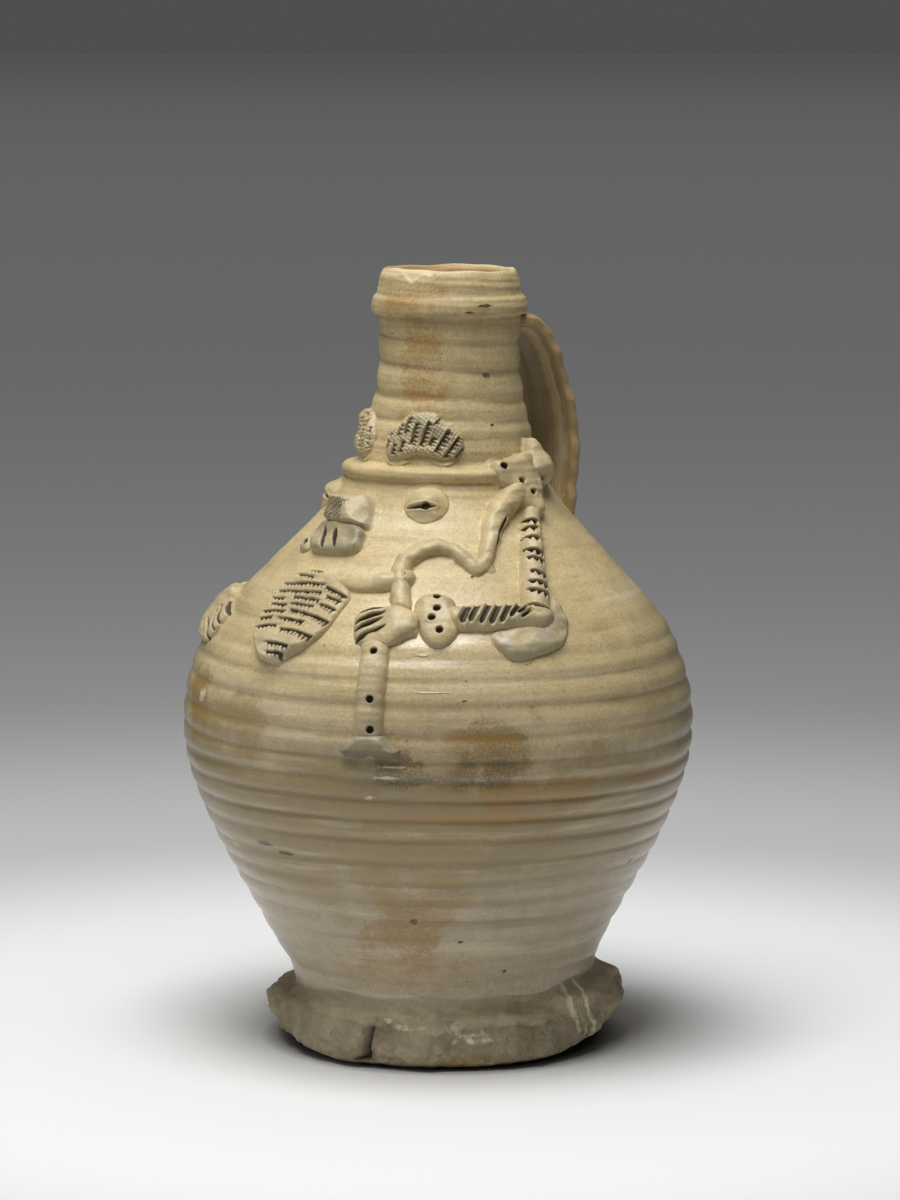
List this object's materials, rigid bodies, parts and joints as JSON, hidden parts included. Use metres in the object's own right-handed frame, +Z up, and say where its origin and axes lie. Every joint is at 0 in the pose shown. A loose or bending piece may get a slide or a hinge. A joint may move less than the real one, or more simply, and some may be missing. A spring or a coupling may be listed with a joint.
{
  "type": "stoneware face jug",
  "caption": "Salt-glazed stoneware jug with narrow neck, pinched foot, strap handle, and a laid-on face with arms playing a pipe.",
  "frame": {"origin": "middle of the flat underside, on the surface that the jug stands on", "axes": "+Z up through the mouth, -Y out of the middle of the face, +Y towards the handle, +X towards the figure's left arm"},
  "size_m": [0.1589, 0.1593, 0.242],
  "materials": {
    "glazed_wall": "thin satin salt glaze over cream to grey-beige clay, with orange-brown flashes",
    "bare_foot": "nearly bare brown-grey clay with flecks of glaze",
    "glazed_handle": "thin satin salt glaze, browner than the wall",
    "relief_clay": "greyer clay under a thin satin glaze"
  },
  "bodies": {
    "root": {"thrown_body": "glazed_wall", "pinched_foot": "bare_foot", "strap_handle": "glazed_handle", "left_brow": "relief_clay", "right_brow": "relief_clay", "left_eye": "relief_clay", "right_eye": "relief_clay", "nose": "relief_clay", "mouth": "relief_clay", "beard": "relief_clay", "left_shoulder_cap": "relief_clay", "left_upper_arm": "relief_clay", "left_forearm": "relief_clay", "left_elbow_wad": "relief_clay", "left_cuff": "relief_clay", "left_hand": "relief_clay", "right_shoulder_cap": "relief_clay", "right_upper_arm": "relief_clay", "right_forearm": "relief_clay", "right_elbow_wad": "relief_clay", "right_cuff": "relief_clay", "right_hand": "relief_clay", "blowpipe": "relief_clay", "drone_pipe": "relief_clay", "drone_bell": "relief_clay", "chanter_pipe": "relief_clay", "chanter_bell": "relief_clay"}
  },
  "joints": []
}
